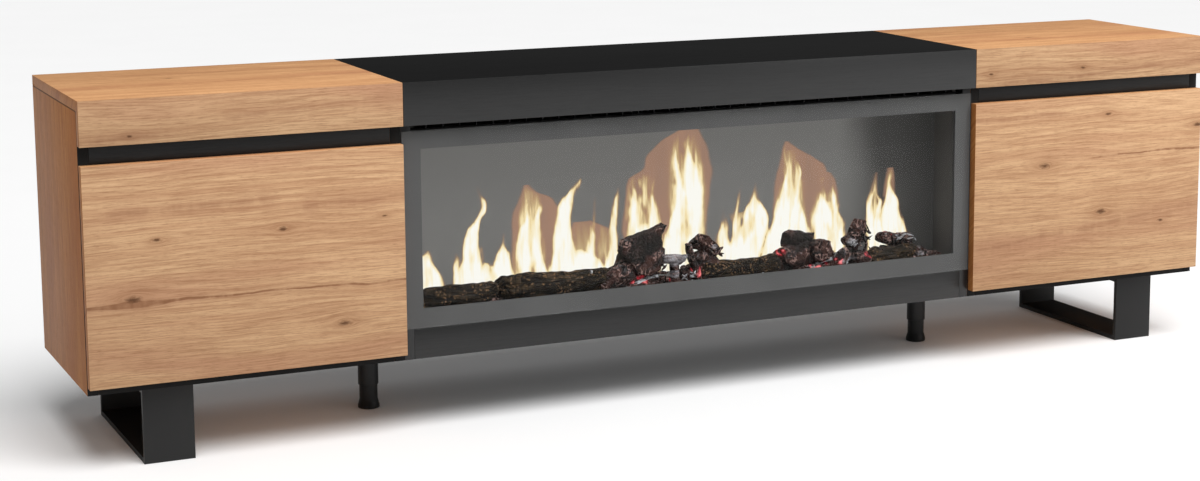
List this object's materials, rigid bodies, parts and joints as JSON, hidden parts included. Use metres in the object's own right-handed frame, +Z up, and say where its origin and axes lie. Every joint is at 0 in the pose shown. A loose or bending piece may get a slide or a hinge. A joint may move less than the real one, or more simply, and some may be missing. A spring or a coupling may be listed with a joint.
{
  "type": "fireplace tv stand",
  "caption": "Low media cabinet with a built-in electric fire behind a glass front, hinged end doors, flat bar legs and adjustable middle feet.",
  "frame": {"origin": "on the floor, under the middle of the cabinet's box", "axes": "+X to the right along the long side, +Y to the back (the doors and the fire face -Y), +Z up"},
  "size_m": [2, 0.35, 0.552],
  "materials": {
    "oak": "light oak decor on board, fine grain, satin",
    "black_board": "black ash decor on board, fine grain, satin",
    "back_board": "plain black thin board, matte",
    "black_steel": "black powder coat, satin",
    "black_plastic": "black moulded plastic, matte",
    "grey_steel": "grey paint, satin",
    "zinc_steel": "zinc plated pressed steel",
    "bright_steel": "polished reflector strip",
    "glass": "clear toughened glass",
    "screen": "frosted translucent sheet",
    "embers": "moulded translucent resin, charred look",
    "log": "moulded charred bark",
    "light_board": "white lamp board"
  },
  "bodies": {
    "cabinet": {"blower_housing": "grey_steel", "blower_motor": "zinc_steel", "centre_back_panel": "back_board", "centre_bottom_panel": "black_board", "centre_front_rail": "black_board", "centre_left_side": "black_board", "centre_right_side": "black_board", "centre_top_apron": "black_board", "centre_top_panel": "black_board", "ember_bed": "embers", "ember_light_strip": "light_board", "flame_light_strip": "light_board", "flame_screen": "screen", "flicker_motor": "zinc_steel", "front_frame": "grey_steel", "front_glass": "glass", "heater_element": "zinc_steel", "insert_casing": "black_steel", "left_back_panel": "back_board", "left_bottom_panel": "oak", "left_handle_rail": "black_board", "left_inner_side": "oak", "left_lower_hinge_arm": "zinc_steel", "left_outer_side": "oak", "left_shelf": "oak", "left_sled_leg": "black_steel", "left_support_sleeve": "black_plastic", "left_top_apron": "oak", "left_top_panel": "oak", "left_upper_hinge_arm": "zinc_steel", "log_far_left": "log", "log_far_right": "log", "log_mid_left": "log", "log_mid_right": "log", "outlet_grille": "black_plastic", "power_inlet": "black_plastic", "right_back_panel": "back_board", "right_bottom_panel": "oak", "right_handle_rail": "black_board", "right_inner_side": "oak", "right_lower_hinge_arm": "zinc_steel", "right_outer_side": "oak", "right_shelf": "oak", "right_sled_leg": "black_steel", "right_support_sleeve": "black_plastic", "right_top_apron": "oak", "right_top_panel": "oak", "right_upper_hinge_arm": "zinc_steel"},
    "left_door": {"left_door": "oak", "left_lower_hinge_cup": "zinc_steel", "left_upper_hinge_cup": "zinc_steel"},
    "right_door": {"right_door": "oak", "right_lower_hinge_cup": "zinc_steel", "right_upper_hinge_cup": "zinc_steel"},
    "flicker_spindle": {"flicker_spindle": "bright_steel"},
    "blower_impeller": {"blower_impeller": "zinc_steel"},
    "left_support_foot": {"left_support_foot": "black_plastic"},
    "right_support_foot": {"right_support_foot": "black_plastic"},
    "switch_rocker": {"switch_rocker": "black_plastic"}
  },
  "joints": [
    {"name": "left_door_hinge", "type": "hinge", "parent": "cabinet", "child": "left_door", "pos_m": [-0.9955, -0.171, 0.2925], "axis": [0, 0, -1], "range_deg": [0, 100]},
    {"name": "right_door_hinge", "type": "hinge", "parent": "cabinet", "child": "right_door", "pos_m": [0.9955, -0.171, 0.2925], "axis": [0, 0, 1], "range_deg": [0, 100]},
    {"name": "flicker_spindle_spin", "type": "hinge", "parent": "cabinet", "child": "flicker_spindle", "pos_m": [0, -0.04, 0.2115], "axis": [1, 0, 0], "continuous": true},
    {"name": "blower_spin", "type": "hinge", "parent": "cabinet", "child": "blower_impeller", "pos_m": [0, -0.0647, 0.4992], "axis": [1, 0, 0], "continuous": true},
    {"name": "left_foot_height", "type": "slide", "parent": "cabinet", "child": "left_support_foot", "axis": [0, 0, 1], "range_m": [0, 0.02]},
    {"name": "right_foot_height", "type": "slide", "parent": "cabinet", "child": "right_support_foot", "axis": [0, 0, 1], "range_m": [0, 0.02]},
    {"name": "power_switch", "type": "hinge", "parent": "cabinet", "child": "switch_rocker", "pos_m": [0.358, -0.0019, 0.1955], "axis": [0, 0, 1], "range_deg": [0, 16]}
  ]
}
